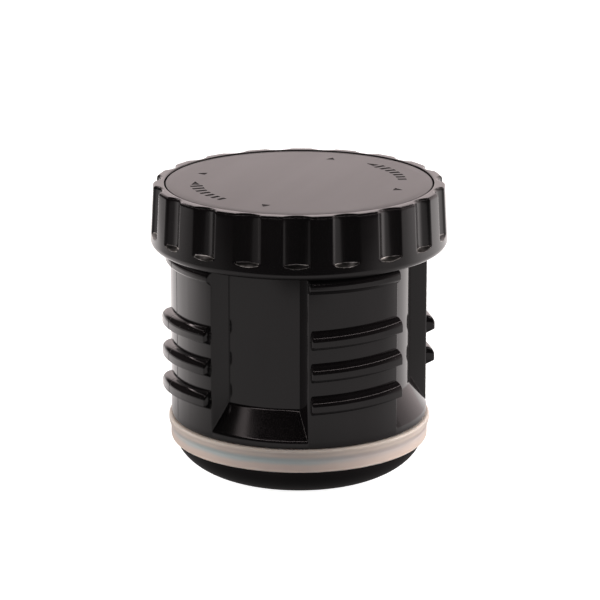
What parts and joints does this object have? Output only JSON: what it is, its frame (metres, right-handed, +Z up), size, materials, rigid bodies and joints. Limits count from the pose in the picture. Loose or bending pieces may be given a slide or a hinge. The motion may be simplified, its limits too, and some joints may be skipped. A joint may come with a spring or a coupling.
{
  "type": "vacuum jug screw stopper",
  "caption": "Black screw stopper for a vacuum jug: fluted head, threaded body with pouring channels, translucent seal ring and rounded base.",
  "frame": {"origin": "middle of the flat underside, on the stopper's axis", "axes": "+Z up the stopper's axis towards the head; a pouring channel faces -Y, and the other three face +X, +Y and -X"},
  "size_m": [0.062, 0.0621, 0.062],
  "materials": {
    "black_plastic": "glossy moulded plastic",
    "black_disc": "satin moulded plastic",
    "foam": "fine-celled rigid foam",
    "gasket": "soft flat gasket",
    "screw_steel": "stainless steel",
    "seal": "translucent silicone",
    "o_ring": "soft black rubber"
  },
  "bodies": {
    "stopper": {"head_shell": "black_plastic", "top_disc": "black_disc", "head_foam": "foam", "head_gasket": "gasket", "head_screw_1": "screw_steel", "head_screw_2": "screw_steel", "head_screw_3": "screw_steel", "head_screw_4": "screw_steel", "stopper_body": "black_plastic", "core_foam": "foam", "base_cup": "black_plastic", "base_o_ring": "o_ring"},
    "seal": {"seal_ring": "seal"}
  },
  "joints": [
    {"name": "seal_ring_off", "type": "slide", "parent": "stopper", "child": "seal", "axis": [0, 0, -1], "range_m": [0, 0.02], "deforming": ["seal_ring"]}
  ]
}
